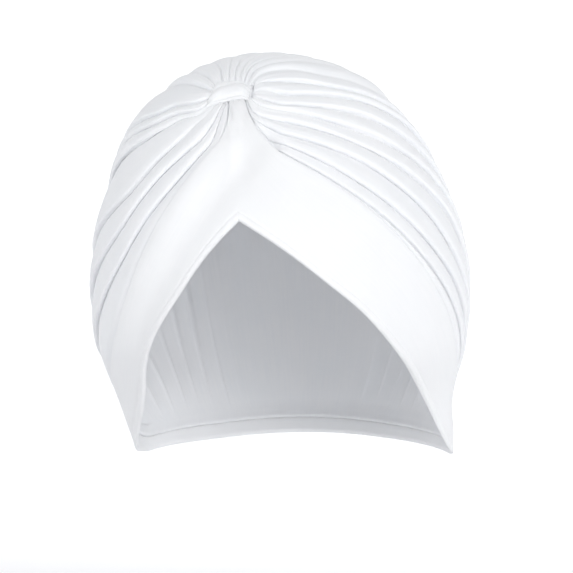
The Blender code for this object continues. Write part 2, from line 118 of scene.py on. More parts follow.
# %% The form under the cloth
# Columns: drop below the top, half width, centre x and y, reach in front and behind
SECTIONS = np.array((
    (0.000, 0.0000, -0.0065, 0.004, 0.000, 0.000),
    (0.005, 0.0285, -0.0063, 0.004, 0.029, 0.030),
    (0.012, 0.0434, -0.0050, 0.004, 0.045, 0.047),
    (0.023, 0.0575, -0.0055, 0.004, 0.063, 0.066),
    (0.040, 0.0700, -0.0048, 0.004, 0.080, 0.084),
    (0.060, 0.0792, -0.0028, 0.004, 0.093, 0.096),
    (0.084, 0.0867, -0.0013, 0.004, 0.104, 0.103),
    (0.112, 0.0903, -0.0007, 0.005, 0.108, 0.105),
    (0.140, 0.0882, -0.0006, 0.007, 0.107, 0.100),
    (0.165, 0.0804, 0.0009, 0.012, 0.104, 0.088),
    (0.196, 0.0776, 0.0035, 0.020, 0.100, 0.064),
))
LEVELS = np.sqrt(SECTIONS[:, 0])
FORM_CENTRE = np.array((0.0, 0.0, -0.105))
FORM_REACH, HALVINGS = 0.2, 26


def outside_form(points):
    """Above 0 outside the form and below 0 inside it."""
    drop = TOP_HEIGHT - points[..., 2]
    rows = smooth_curve(LEVELS, SECTIONS[:, 1:], np.sqrt(np.maximum(drop, 0)))
    half_width, centre_x, centre_y, front, back = np.moveaxis(rows, -1, 0)
    reach = np.where(points[..., 1] < centre_y, front, back)
    x = (points[..., 0] - centre_x) / np.maximum(half_width, 1e-9)
    y = (points[..., 1] - centre_y) / np.maximum(reach, 1e-9)
    return np.where(drop <= 0, 1.0, x * x + y * y - 1)


def form_hit(start, direction):
    """Where rays from inside the form leave it."""
    low = np.zeros(np.broadcast(start, direction).shape[:-1])
    high = np.full_like(low, FORM_REACH)
    for _ in range(HALVINGS):
        middle = (low + high) / 2
        out = outside_form(start + direction * middle[..., None]) > 0
        low, high = np.where(out, low, middle), np.where(out, middle, high)
    return start + direction * low[..., None]


def unit(vectors):
    """Vectors of length 1."""
    return vectors / np.linalg.norm(vectors, axis=-1, keepdims=True)


def on_form(points):
    """Moves points onto the form, straight away from its centre."""
    return form_hit(FORM_CENTRE, unit(points - FORM_CENTRE))


def lift(points, height):
    """Moves points of the form out or in along the line from its centre."""
    return points + unit(points - FORM_CENTRE) * np.asarray(height)[..., None]


def form_at(bearing, drop):
    """The form's point at a bearing round the head, 0 in front and 90 at +X, and at a drop below the top."""
    turn = math.radians(bearing)
    centre_x = smooth_curve(LEVELS, SECTIONS[:, 2], math.sqrt(drop))
    return form_hit(np.array((float(centre_x), 0.0, TOP_HEIGHT - drop)),
                    np.array((math.sin(turn), -math.cos(turn), 0.0)))


def front_at(x, drop):
    """The form's point on the face side at an x and a drop below the top."""
    return form_hit(np.array((x, 0.0, TOP_HEIGHT - drop)), np.array((0.0, -1.0, 0.0)))


print("forehead:", np.round(1000 * front_at(0, 0.084), 1), "mm")

# %% [markdown]
# A pre-tied turban is one length of jersey that is gathered at the knot and fanned back. Each valley between
# two pleats is a line on the form, from the gathers to the strip round the nape. The table is the frame's,
# with more bearings near the knot, where some valleys run beside the band's edge or are faint at first.

# %% Valleys between the pleats
KNOT_X, KNOT_DROP = -0.0150, 0.0225
RING_HALF_LENGTH, RING_HALF_HEIGHT = 0.0080, 0.0038
LEAD_REACH, FAR_REACH = 0.0170, 0.0280
BROW_REACH = 0.0340              # the brow's point is left out where it lies nearer to the knot than this
NAPE_BAND_WIDTH = 0.012
BROW_RIGHT, BROW_LEFT, TEMPLE, EAR = 12, 28, 45, 85

# Columns: side, bearings at the gathers, at LEAD_REACH and at FAR_REACH, drops at the brow, temple and ear,
# bearing and drop of a point on the back, bearing at the nape, depth, distance from the knot where it starts
VALLEYS = (
    (1, -41, -50, -52.0, 0.0550, 0.0930, 0.1505, 101, 0.176, 116, 0.0005, 0.000),
    (1, -39.5, -49.4, -50.6, 0.0535, 0.0890, 0.1370, 104, 0.168, 121, 0.0009, 0.034),
    (1, -38, -48.8, -47.0, 0.0485, 0.0780, 0.1260, 108, 0.160, 127, 0.0012, 0.022),
    (1, -36, -47.8, -41.0, 0.0437, 0.0622, 0.1110, 113, 0.150, 132, 0.0013, 0.018),
    (1, -31, -41, -31.5, 0.0366, 0.0508, 0.0870, 119, 0.138, 138, 0.0013, 0.009),
    (1, -25, -29, -22.5, 0.0320, 0.0423, 0.0665, 125, 0.124, 143, 0.0013, 0.040),
    (1, -18, -16, -14.5, 0.0290, 0.0330, 0.0530, 131, 0.112, 149, 0.0014, 0.000),
    (1, -4, -3, -4.0, 0.0240, 0.0250, 0.0380, 137, 0.100, 154, 0.0013, 0.022),
    (1, 12, 15, 10.5, 0.0180, 0.0200, 0.0280, 144, 0.088, 159, 0.0012, 0.017),
    (1, 30, 36, 25.0, 0.0110, 0.0130, 0.0190, 152, 0.078, 164, 0.0011, 0.000),
    (1, 46, 50, None, None, None, 0.0090, 161, 0.070, 169, 0.0007, 0.000),
    (1, 60, 63, None, None, None, 0.0036, 169, 0.064, 174, 0.0005, 0.000),
    (1, 75, 77, None, None, None, 0.0010, 177, 0.062, 179, 0.0004, 0.000),
    (-1, 91, 92, None, None, None, 0.0001, 185, 0.062, 184, 0.0004, 0.000),
    (-1, 108, 109, None, None, None, 0.0015, 193, 0.064, 189, 0.0004, 0.000),
    (-1, 128, 128, None, None, None, 0.0056, 202, 0.070, 195, 0.0005, 0.000),
    (-1, 152, 151, None, None, None, 0.0112, 210, 0.076, 201, 0.0007, 0.000),
    (-1, 180, 168, None, None, None, 0.0175, 215, 0.084, 206, 0.0010, 0.000),
    (-1, 207, 199, 193.0, 0.0280, 0.0322, 0.0422, 221, 0.097, 212, 0.0013, 0.000),
    (-1, 218, 213, 202.5, 0.0315, 0.0380, 0.0520, 227, 0.108, 217, 0.0012, 0.018),
    (-1, 228, 221, 208.5, 0.0360, 0.0450, 0.0650, 233, 0.119, 222, 0.0012, 0.026),
    (-1, 239, 233, 229.0, 0.0500, 0.0710, 0.0980, 241, 0.138, 228, 0.0015, 0.034),
    (-1, 250, 249, 243.5, 0.0610, 0.0880, 0.1240, 249, 0.152, 234, 0.0012, 0.010),
    (-1, 259, 256, 254.5, 0.0765, 0.1060, 0.1460, 255, 0.164, 240, 0.0012, 0.000),
    (-1, 268, 274, 265.0, 0.0925, 0.1338, 0.1670, 261, 0.178, 246, 0.0005, 0.000),
)

# The hem's points from its peak back to the nape, by bearing and drop, and how far they hug the cheek
PEAK = (-2, 0.0835, 0.0)
HEM_RIGHT = (
    PEAK, (10, 0.0975, 0.0), (20, 0.1110, 0.0), (31, 0.1250, 0.001), (46, 0.1450, 0.003), (60, 0.1590, 0.005),
    (76, 0.1730, 0.006), (95, 0.1900, 0.002), (116, 0.1950, 0.0), (145, 0.1910, 0.0), (180, 0.1880, 0.0),
)
HEM_LEFT = (
    PEAK, (-11, 0.1000, 0.0), (-19, 0.1180, 0.0), (-28, 0.1350, 0.001), (-38, 0.1510, 0.004),
    (-52, 0.1680, 0.007), (-68, 0.1810, 0.007), (-92, 0.1930, 0.003), (-114, 0.1950, 0.0),
    (-145, 0.1910, 0.0), (-180, 0.1880, 0.0),
)
NAPE_START = 8
NAPE_LEFT = tuple((360 + bearing, drop, hug) for bearing, drop, hug in reversed(HEM_LEFT[NAPE_START:-1]))
NAPE_BEARINGS, NAPE_DROPS, _ = zip(*HEM_RIGHT[NAPE_START:] + NAPE_LEFT)
KNOT_POINT = front_at(KNOT_X, KNOT_DROP)


def near_knot(bearing, reach_x, reach_z):
    """The form's point at a bearing round the knot, 0 towards +X and 90 up."""
    turn = math.radians(bearing)
    return front_at(KNOT_X + reach_x * math.cos(turn), KNOT_DROP - reach_z * math.sin(turn))


def valley_points(row):
    """The points of the form that a valley's line runs through."""
    side, bearing, lead, far, brow, temple, ear, back_bearing, back, nape = row[:10]
    points = [near_knot(bearing, RING_HALF_LENGTH, RING_HALF_HEIGHT), near_knot(lead, LEAD_REACH, LEAD_REACH)]
    if far is not None:
        points.append(near_knot(far, FAR_REACH, FAR_REACH))
        at_brow = form_at(BROW_RIGHT if side > 0 else -BROW_LEFT, brow)
        if np.linalg.norm(at_brow - KNOT_POINT) > BROW_REACH:
            points.append(at_brow)
        points.append(form_at(side * TEMPLE, temple))
    nape_drop = float(smooth_curve(NAPE_BEARINGS, NAPE_DROPS, nape)) - NAPE_BAND_WIDTH
    return np.array(points + [form_at(side * EAR, ear), form_at(back_bearing, back), form_at(nape, nape_drop)])


def length_shares(line):
    """The share of a line's length at which each of its points lies."""
    lengths = np.concatenate(([0.0], np.cumsum(np.linalg.norm(np.diff(line, axis=0), axis=1))))
    return lengths / lengths[-1]


PLEAT_STATIONS = 136             # along each pleat
STATION_CROWDING = 1.35          # above 1, they lie closer together near the knot
shares = (np.arange(PLEAT_STATIONS) / (PLEAT_STATIONS - 1)) ** STATION_CROWDING
lines = []
for row in VALLEYS:
    points = valley_points(row)
    lines.append(on_form(smooth_curve(length_shares(points), points, shares)))
lines = np.array(lines)
SIDES, EAR_DROPS = np.array([row[0] for row in VALLEYS]), np.array([row[6] for row in VALLEYS])
STARTS = np.array([row[11] for row in VALLEYS])
lengths = np.linalg.norm(np.diff(lines, axis=1), axis=2).sum(axis=1)
print(len(VALLEYS), "valleys,", round(1000 * lengths.min()), "to", round(1000 * lengths.max()), "mm long")

# %% [markdown]
# Jersey never lies quite even. A few slow waves with fixed random phases stand for that unevenness: they vary
# how far each pleat laps over the next, how full it is, and how flat the smooth band lies. A seeded generator
# gives the same waves on each run.

# %% Slow waves
WAVE_COUNT = 14


def slow_waves(seed, across_rate, along_rate):
    """A smooth uneven field over two coordinates, from about -1 to 1."""
    random = np.random.default_rng(seed)
    rates = random.uniform(0.25, 1.0, (WAVE_COUNT, 2)) * (across_rate, along_rate)
    rates[:, 0] *= random.choice((-1, 1), WAVE_COUNT)
    phases = random.uniform(0, 2 * math.pi, WAVE_COUNT)

    def field(across, along):
        total = sum(np.sin(2 * math.pi * (a * across + b * along) + phase)
                    for (a, b), phase in zip(rates, phases))
        return total / math.sqrt(WAVE_COUNT) * 0.8

    return field


level_waves = slow_waves(11, 0.35, 2.5)
lap_waves = slow_waves(12, 0.9, 7.0)
fullness_waves = slow_waves(13, 0.8, 3.0)
crease_waves = slow_waves(14, 2.6, 4.0)
band_waves = slow_waves(15, 22.0, 22.0)
print("wave at the origin:", round(float(level_waves(0.0, 0.0)), 2))

# %% [markdown]
# Seen across, a pleat is a fold that laps over its lower neighbour. It starts in the upper valley, hidden
# under the pleat above, rises to a crest, rolls over a rounded lip and turns back to the lower valley. Over
# the top of the head the folds stand upright and even. One cross-section holds both: it gives, for each step,
# the place across the pleat, which may pass the valley, and the height.

# %% The pleat's cross-section
BODY_STEPS, LIP_STEPS, UNDER_STEPS = 8, 4, 2
PLEAT_COLUMNS = BODY_STEPS + LIP_STEPS + UNDER_STEPS
CREST_SLOPE, CREST_MAX, UPRIGHT_CREST = 0.22, 0.0018, 0.18
LAP_SLOPE, LAP_MAX = 0.11, 0.0008
LIP_SHARE, LIP_MAX = 0.48, 0.0012
LIP_TURN = math.radians(135)
BODY_POWER = 0.75                # below 1, a pleat's upper part is steep and the rest of it is full
UPRIGHT_POWER = 0.7
VALLEY_FULL_WIDTH = 0.006        # of a pleat from which its valleys have their full depth
VALLEY_DEPTH = 0.8               # share of the table's depth
UPRIGHT_NEAR, NEAR_START, NEAR_END = 0.0007, 0.014, 0.045   # extra depth on top, and where it fades
FULLNESS_VARIES, LAP_VARIES = 0.22, 0.45


def lapped_section(width, rise, lap):
    """A fold that laps towards place 1: places across and heights from 0 in the valley to 1 at the crest."""
    lip = np.minimum(LIP_SHARE * rise, LIP_MAX)
    centre = 1 + (lap - lip) / width
    places, heights = [], []
    for step in range(BODY_STEPS):
        k = step / BODY_STEPS
        places.append(k * centre)
        heights.append(rise * math.sin(math.pi / 2 * k) ** BODY_POWER)
    for step in range(LIP_STEPS + 1):
        turn = LIP_TURN * step / LIP_STEPS
        places.append(centre + lip / width * math.sin(turn))
        heights.append(rise - lip + lip * math.cos(turn))
    for step in range(1, UNDER_STEPS + 1):
        k = step / UNDER_STEPS
        places.append(places[BODY_STEPS + LIP_STEPS] * (1 - k) + k)
        heights.append(heights[BODY_STEPS + LIP_STEPS] * (1 - k))
    return np.stack(places, axis=-1), np.stack(heights, axis=-1)


def upright_section(width, rise):
    """An even fold between two sharp valleys."""
    k = np.arange(PLEAT_COLUMNS + 1) / PLEAT_COLUMNS
    heights = rise[..., None] * np.sin(math.pi * k) ** UPRIGHT_POWER
    return np.broadcast_to(k, heights.shape), heights


def pleat_section(width, rise, lap, lean):
    """The mix that a lean asks for: -1 laps towards place 0, 0 is upright, 1 laps towards place 1."""
    even_places, even_heights = upright_section(width, rise)
    places, heights = lapped_section(width, rise, lap)
    if np.min(lean) < 0:
        places, heights = 1 - places[..., ::-1], heights[..., ::-1]
    mix = np.abs(lean)[..., None]
    return even_places + (places - even_places) * mix, even_heights + (heights - even_heights) * mix


sample_places, _ = pleat_section(*[np.array([value]) for value in (0.012, 0.0025, 0.0015, 1.0)])
print("a 12 mm pleat laps", round(12 * float(sample_places.max() - 1), 2), "mm over the next")

# %% [markdown]
# The crown's edge runs a few millimetres under the band, so the band's level comes first. It follows the
# form, hugs the cheeks, is pressed in under the knot's wrap, and has a few soft folds in front, as the cloth
# is drawn towards the knot.

# %% The band's level on the form
BAND_WALL, EDGE_WALL = 0.0022, 0.0010
EDGE_REACH = 0.009               # distance over which the band grows from its edge's thickness
GAP = 0.0003
PINCH, PINCH_NEAR, PINCH_FAR = 0.0016, 0.0037, 0.0150
BAND_WAVE = 0.00018
# Soft folds of the band. Columns: x and drop where a fold starts and ends, height, which is below 0 for a
# valley, half width, and how much of its length it takes to fade at each end
BAND_FOLDS = (
    (0.0025, 0.0464, -0.0310, 0.0937, -0.0026, 0.0070, 0.30, 0.60),
    (-0.0145, 0.0502, -0.0505, 0.1032, 0.0020, 0.0080, 0.25, 0.60),
    (-0.0335, 0.0975, -0.0655, 0.1535, -0.0018, 0.0062, 0.40, 0.50),
    (-0.0108, 0.0290, -0.0062, 0.0420, 0.0007, 0.0018, 0.20, 0.50),
    (-0.0147, 0.0290, -0.0114, 0.0385, -0.0011, 0.0009, 0.15, 0.50),
    (-0.0100, 0.0395, -0.0085, 0.0440, -0.0008, 0.0024, 0.50, 0.60),
    (-0.0040, 0.0400, 0.0080, 0.0640, 0.0006, 0.0060, 0.40, 0.60),
    (-0.0700, 0.1250, -0.0735, 0.1640, -0.0006, 0.0028, 0.25, 0.40),
    (-0.0640, 0.1290, -0.0690, 0.1700, -0.0004, 0.0022, 0.25, 0.40),
)


def pinch(points):
    """How far the wrap draws the cloth in round the knot."""
    distance = np.linalg.norm(points - KNOT_POINT, axis=-1)
    return PINCH * (1 - ease(PINCH_NEAR, PINCH_FAR, distance))


def band_relief(points):
    """The soft folds in front, and a slight unevenness all round."""
    x, drop = points[..., 0], TOP_HEIGHT - points[..., 2]
    total = BAND_WAVE * band_waves(points[..., 0] + points[..., 1], points[..., 2])
    for start_x, start_drop, end_x, end_drop, height, half_width, fade_in, fade_out in BAND_FOLDS:
        run_x, run_drop = end_x - start_x, end_drop - start_drop
        length = math.hypot(run_x, run_drop)
        along = ((x - start_x) * run_x + (drop - start_drop) * run_drop) / length ** 2
        aside = ((x - start_x) * run_drop - (drop - start_drop) * run_x) / length
        fade = ease(-fade_in, fade_in, along) * (1 - ease(1 - fade_out, 1 + fade_out, along))
        total = total + height * fade * np.exp(-(aside / half_width) ** 2) * (points[..., 1] < 0)
    return total


def band_level(base, hug, share):
    """The band's level on the form, from its relief, the cheek that it hugs and the wrap's pinch."""
    return band_relief(base) - hug * share ** 2 - pinch(base)


def band_wall(from_edge):
    """The band's thickness, which is less at its sewn upper edge."""
    return EDGE_WALL + (BAND_WALL - EDGE_WALL) * ease(0, EDGE_REACH, from_edge)


print("pinch at the knot:", round(1000 * float(pinch(KNOT_POINT)), 2), "mm")

# %% The band's rails
TOP_STATIONS = 8                 # half of the band's gathered top
NAPE_STATIONS = 110
HEM_CORNER = 0.01                # share of the hem, beside the peak, that the gathered top spreads over


def leg_rails(line, hem_rows, turn_start, turn_end):
    """Upper edge, hem and hug from the middle of the gathered top to the end of one leg."""
    hem_points = np.array([form_at(bearing, drop) for bearing, drop, _ in hem_rows])
    hem_shares, hugs = length_shares(hem_points), np.array([row[2] for row in hem_rows])
    end_share = hem_shares[NAPE_START]
    steps = np.arange(TOP_STATIONS) / TOP_STATIONS
    ring = [near_knot(turn, RING_HALF_LENGTH, RING_HALF_HEIGHT)
            for turn in turn_start + (turn_end - turn_start) * steps]
    places = np.concatenate((HEM_CORNER * steps, HEM_CORNER + (end_share - HEM_CORNER) * shares))
    return (np.concatenate((ring, line)), on_form(smooth_curve(hem_shares, hem_points, places)),
            smooth_curve(hem_shares, hugs, places))


middle_turn = (VALLEYS[0][1] + VALLEYS[-1][1] - 360) / 2
right_leg = leg_rails(lines[0], HEM_RIGHT, middle_turn, VALLEYS[0][1])
left_leg = leg_rails(lines[-1], HEM_LEFT, middle_turn, VALLEYS[-1][1] - 360)


def nape_edge(places):
    """Points of the crown's lower end, at places counted in pleats from the right."""
    first = np.clip(places.astype(int), 0, len(VALLEYS) - 2)
    k = (places - first)[:, None]
    return on_form(lines[first, -1] * (1 - k) + lines[first + 1, -1] * k)


def nape_hem(k):
    """Points of the nape's hem, at shares of the way from right to left."""
    bearings = VALLEYS[0][9] + (VALLEYS[-1][9] - VALLEYS[0][9]) * k
    return np.array([form_at(b, float(smooth_curve(NAPE_BEARINGS, NAPE_DROPS, b))) for b in bearings])


nape_steps = np.arange(1, NAPE_STATIONS) / NAPE_STATIONS
nape_upper = nape_edge(nape_steps * (len(VALLEYS) - 1))
nape_lower = nape_hem(nape_steps)
rail_upper = np.concatenate((right_leg[0], nape_upper, left_leg[0][:0:-1]))
rail_lower = np.concatenate((right_leg[1], nape_lower, left_leg[1][:0:-1]))
rail_hug = np.concatenate((right_leg[2], np.zeros(len(nape_steps)), left_leg[2][:0:-1]))
rail_width = np.linalg.norm(rail_lower - rail_upper, axis=1)
print("band:", len(rail_upper), "stations,", round(1000 * rail_width.min(), 1), "to",
      round(1000 * rail_width.max(), 1), "mm wide")

# %% [markdown]
# The crown is one sheet. A grid of points runs from the gathers to the nape along the pleats, and across them
# through every cross-section in turn. A second, calmer grid is the inside, where the folded layers lie flat
# against the head. Both are joined at the gathers and at the border, which is tucked under the band.

# %% The crown's grid
CROWN_LEVEL, WALL = -0.0010, 0.0016
LEAN_FULL_DROP, LEAN_START_DROP = 0.026, 0.006
INNER_RELIEF, BACK_RELIEF = 0.25, 0.5
BACK_START, BACK_FULL, FLAT_START, LEAN_END = 0.55, 0.90, 0.93, 0.80
CLIMB = 1.3                      # how steeply the crown may rise beside the band's edge
LEVEL_WAVE, CREASE_WAVE = 0.00035, 0.00018
# Small folds in each pleat near the knot: number, height, pleat width with the full height, and where they fade
FAN_FOLDS, FAN_HEIGHT, FAN_WIDTH, FAN_START, FAN_END = 2, 0.00028, 0.002, 0.0102, 0.034
DEPTH_REACH = 0.03               # distance from the knot where the valleys have their full depth
FAINT, PLAIN_LEVEL, PLAIN_PLACES = 0.9, 0.75, 1.15
FAINT_START, FAINT_END = 0.6, 1.25   # of the distance from the knot at which the table's valley starts
POCKET_ENDS = front_at(0.0018, 0.0415), front_at(0.0082, 0.0490)   # where pleats part beside the band's edge
POCKET_DEPTH, POCKET_RADIUS = 0.0040, 0.0027
SLIT_X, SLIT_SLANT, SLIT_WIDTH, SLIT_DEPTH = 0.0098, -0.10, 0.00042, 0.0024
SLIT_LOW, SLIT_HIGH, SLIT_FADE = -0.0030, 0.0038, 0.0006
UPRIGHT_LIFT = 0.0009
GATHER_FADE = 0.16               # share of a pleat's length over which the fine gathers fade

pleat_count = len(VALLEYS) - 1
column_count = pleat_count * PLEAT_COLUMNS + 1


def base_points(places):
    """Points of the form at places counted in pleats, for every station."""
    first = np.clip(np.floor(places).astype(int), 0, pleat_count - 1)
    k = (places - first)[..., None]
    stations = np.arange(PLEAT_STATIONS)[:, None]
    return on_form(lines[first, stations] * (1 - k) + lines[first + 1, stations] * k)


places = np.zeros((PLEAT_STATIONS, column_count))
relief = np.zeros_like(places)
inner_relief = np.zeros_like(places)
strength = (1 - (1 - BACK_RELIEF) * ease(BACK_START, BACK_FULL, shares)) * (1 - ease(FLAT_START, 1.0, shares))
knot_distance = np.linalg.norm(lines - KNOT_POINT, axis=2)
table_depths = VALLEY_DEPTH * np.array([row[10] for row in VALLEYS])
valley_leans = ease(LEAN_START_DROP, LEAN_FULL_DROP, EAR_DROPS)
near = (1 - ease(NEAR_START, NEAR_END, knot_distance)) * ease(0, 0.02, shares)
valley_depths = (table_depths[:, None] * np.minimum(1, knot_distance / DEPTH_REACH)
                 + UPRIGHT_NEAR * (1 - valley_leans[:, None]) * near)
for pleat in range(pleat_count):
    width = np.maximum(np.linalg.norm(lines[pleat + 1] - lines[pleat], axis=1), 1e-6)
    fullness = 1 + FULLNESS_VARIES * fullness_waves(pleat * 1.0, shares)
    drop = (EAR_DROPS[pleat] + EAR_DROPS[pleat + 1]) / 2
    lean = -SIDES[pleat] * float(ease(LEAN_START_DROP, LEAN_FULL_DROP, drop))
    crest = UPRIGHT_CREST + (1 - UPRIGHT_CREST) * abs(lean)
    rise_to = np.minimum(CREST_MAX, CREST_SLOPE * width) * crest * strength * fullness
    depth_k = strength * np.minimum(1, width / VALLEY_FULL_WIDTH * (1 + 1.5 * (1 - abs(lean))))
    lap = np.minimum(LAP_MAX, LAP_SLOPE * width) * strength
    lap *= 1 + LAP_VARIES * lap_waves(pleat * 1.0, shares)
    mean_depth = (valley_depths[pleat] + valley_depths[pleat + 1]) / 2 * depth_k
    rise = rise_to + mean_depth
    section, heights = pleat_section(width, rise, lap, lean * (1 - ease(LEAN_END, 1.0, shares)))
    k = np.arange(PLEAT_COLUMNS + 1) / PLEAT_COLUMNS
    floor = valley_depths[pleat][:, None] * (1 - k) + valley_depths[pleat + 1][:, None] * k
    floor *= -depth_k[:, None]
    faint = np.stack([FAINT * (1 - ease(FAINT_START * start, FAINT_END * start + 1e-6, knot_distance[line]))
                      for line, start in ((pleat, STARTS[pleat]), (pleat + 1, STARTS[pleat + 1]))])
    plain = faint[0][:, None] * (1 - k) ** 1.5 + faint[1][:, None] * k ** 1.5
    crest_level = (rise - mean_depth)[:, None]
    columns = slice(pleat * PLEAT_COLUMNS, (pleat + 1) * PLEAT_COLUMNS + 1)
    places[:, columns] = pleat + section + (k - section) * np.minimum(1, plain * PLAIN_PLACES)
    relief[:, columns] = floor + heights + (crest_level * PLAIN_LEVEL - floor - heights) * plain
    fan = FAN_HEIGHT * np.minimum(1, width / FAN_WIDTH) * (1 - ease(FAN_START, FAN_END, knot_distance[pleat]))
    fan *= abs(lean) * ease(0, 0.01, shares)
    relief[:, columns] -= fan[:, None] * (1 - np.abs(np.sin(math.pi * FAN_FOLDS * k))) ** 1.5
    relief[:, columns] += UPRIGHT_LIFT * (1 - abs(lean)) * (strength * ease(0, 0.05, shares))[:, None]
    inner_relief[:, columns] = floor + rise[:, None] * np.sin(math.pi * k) ** 0.8

base = base_points(places)
level = CROWN_LEVEL + relief + LEVEL_WAVE * level_waves(places, shares[:, None]) * strength[:, None]
fine = 1 - ease(0, GATHER_FADE, shares)[:, None]
level += CREASE_WAVE * crease_waves(places, shares[:, None]) * (0.5 + fine) * strength[:, None]
pocket_run = POCKET_ENDS[1] - POCKET_ENDS[0]
pocket_share = np.clip((base - POCKET_ENDS[0]) @ pocket_run / (pocket_run @ pocket_run), 0, 1)
from_pocket = np.linalg.norm(base - POCKET_ENDS[0] - pocket_share[..., None] * pocket_run, axis=-1)
level -= POCKET_DEPTH * np.exp(-(from_pocket / POCKET_RADIUS) ** 2) * ease(-0.6, 0.6, pocket_share)
slit_up = base[..., 2] - (TOP_HEIGHT - KNOT_DROP)
slit_aside = base[..., 0] - KNOT_X - SLIT_X - SLIT_SLANT * slit_up
slit = np.exp(-(slit_aside / SLIT_WIDTH) ** 2) * (base[..., 1] < 0)
slit *= ease(SLIT_LOW - SLIT_FADE, SLIT_LOW, slit_up) * (1 - ease(SLIT_HIGH, SLIT_HIGH + SLIT_FADE, slit_up))
pressed = pinch(base)
level -= pressed + SLIT_DEPTH * slit
print("crown grid:", places.shape, "relief", np.round(1000 * np.array((relief.min(), relief.max())), 2), "mm")

# %% The crown's border under the band
EDGE_LEVEL = -0.0002             # of the band's upper edge, against its level
TUCK, TUCK_AT_KNOT, TUCK_FULL = 0.006, 0.0020, 0.045
TUCK_ROWS = 4


def border_rails():
    """The band's upper edge, hem and hug beside each point of the crown's border."""
    k = np.arange(1, column_count - 1) / (column_count - 1)
    along_nape = nape_edge(places[-1, 1:-1])
    right, left = [part[TOP_STATIONS:] for part in right_leg], [part[TOP_STATIONS:] for part in left_leg]
    return (np.concatenate((right[0], along_nape, left[0][::-1])),
            np.concatenate((right[1], nape_hem(k), left[1][::-1])),
            np.concatenate((right[2], np.zeros(len(k)), left[2][::-1])))


def tucked(points, hems, hugs, reach):
    """Points under the band, a distance in from its upper edge, and the level of its underside there."""
    from_edge = np.linalg.norm(hems - points, axis=1)
    along = unit(np.gradient(points, axis=0))
    inward = hems - points
    inward -= along * np.sum(along * inward, axis=1, keepdims=True)
    beneath = on_form(points + unit(inward) * reach[:, None])
    return beneath, band_level(beneath, hugs, reach / from_edge) - band_wall(reach) + EDGE_LEVEL - GAP


border_top, border_hem, border_hug = border_rails()
from_knot = np.linalg.norm(border_top - KNOT_POINT, axis=1)
full_reach = TUCK_AT_KNOT + (TUCK - TUCK_AT_KNOT) * ease(RING_HALF_LENGTH, TUCK_FULL, from_knot)
border_point, border_level = tucked(border_top, border_hem, border_hug, np.zeros(len(border_top)))

from_right = np.linalg.norm(base - lines[0][:, None], axis=2)
from_left = np.linalg.norm(base - lines[-1][:, None], axis=2)
most_right = border_level[:PLEAT_STATIONS, None] + CLIMB * np.maximum(0, from_right - GAP)
most_left = border_level[:-PLEAT_STATIONS - 1:-1, None] + CLIMB * np.maximum(0, from_left - GAP)
level = np.minimum(level, np.minimum(most_right, most_left))
inner_level = np.minimum(CROWN_LEVEL + inner_relief * INNER_RELIEF - pressed, level) - WALL
even_places = np.broadcast_to(np.arange(column_count) / PLEAT_COLUMNS, places.shape)
outer_points, inner_points = lift(base, level), lift(base_points(even_places), inner_level)
print("border:", len(border_top), "points, tucked up to", round(1000 * full_reach.max(), 1), "mm")

# %% [markdown]
# A mesh made of arrays is quick: all points go in at once, then all quads. Each face keeps its own knit
# coordinates in a UV map, in metres, so the knit runs along each pleat and is cut off at its valleys.

# %% Mesh from arrays
def mesh_object(name, points, quads, coordinates):
    """An object from an array of points, quads of point numbers, and a UV pair for each corner."""
    mesh = bpy.data.meshes.new(name)
    mesh.vertices.add(len(points))
    mesh.vertices.foreach_set("co", points.astype(np.float32).ravel())
    mesh.loops.add(quads.size)
    mesh.loops.foreach_set("vertex_index", quads.astype(np.int32).ravel())
    mesh.polygons.add(len(quads))
    mesh.polygons.foreach_set("loop_start", np.arange(0, quads.size, 4, dtype=np.int32))
    mesh.polygons.foreach_set("use_smooth", np.ones(len(quads), bool))
    layer = mesh.uv_layers.new(name="knit")
    layer.data.foreach_set("uv", coordinates.astype(np.float32).ravel())
    mesh.update(calc_edges=True)
    mesh.validate()
    item = bpy.data.objects.new(name, mesh)
    bpy.context.scene.collection.objects.link(item)
    return item


def quads_between(numbers, wrapped=(False, False)):
    """Quads between neighbours in a grid of point numbers, closed along the axes that are wrapped."""
    numbers = np.pad(numbers, [(0, int(closed)) for closed in wrapped], mode="wrap")
    return np.stack((numbers[:-1, :-1], numbers[:-1, 1:], numbers[1:, 1:], numbers[1:, :-1]),
                    axis=-1).reshape(-1, 4)


def numbered(grid):
    """The point numbers of a grid of points that is stored row by row."""
    return np.arange(grid.shape[0] * grid.shape[1]).reshape(grid.shape[:2])


def volume(points, quads):
    """Six times the volume inside quads, below 0 where they look inwards."""
    corners = (points - points.mean(axis=0))[quads]
    return sum(np.sum(corners[:, 0] * np.cross(corners[:, k], corners[:, k + 1])) for k in (1, 2))


def closed_mesh(name, points, quads, coordinates):
    """A closed mesh whose faces look outwards: they turn over together if its volume is below 0."""
    if volume(points, quads) < 0:
        quads, coordinates = quads[:, ::-1], coordinates.reshape(-1, 4, 2)[:, ::-1].reshape(-1, 2)
    return mesh_object(name, points, quads, coordinates)


def print_mesh(item):
    """Prints a mesh's size and its open edges, which a closed sheet has none of."""
    mesh = item.data
    corner_edges = np.zeros(len(mesh.loops), np.int32)
    mesh.loops.foreach_get("edge_index", corner_edges)
    uses = np.bincount(corner_edges, minlength=len(mesh.edges))
    triangles = sum(len(face.vertices) - 2 for face in mesh.polygons)
    print(item.name, triangles, "triangles,", int((uses != 2).sum()), "edges not shared by two faces")


print("quads of a 3 by 3 grid:", len(quads_between(numbered(np.zeros((3, 3))))))

# %% Build the crown
PLEAT_OFFSET = 0.037             # keeps the knit of neighbouring pleats from lining up

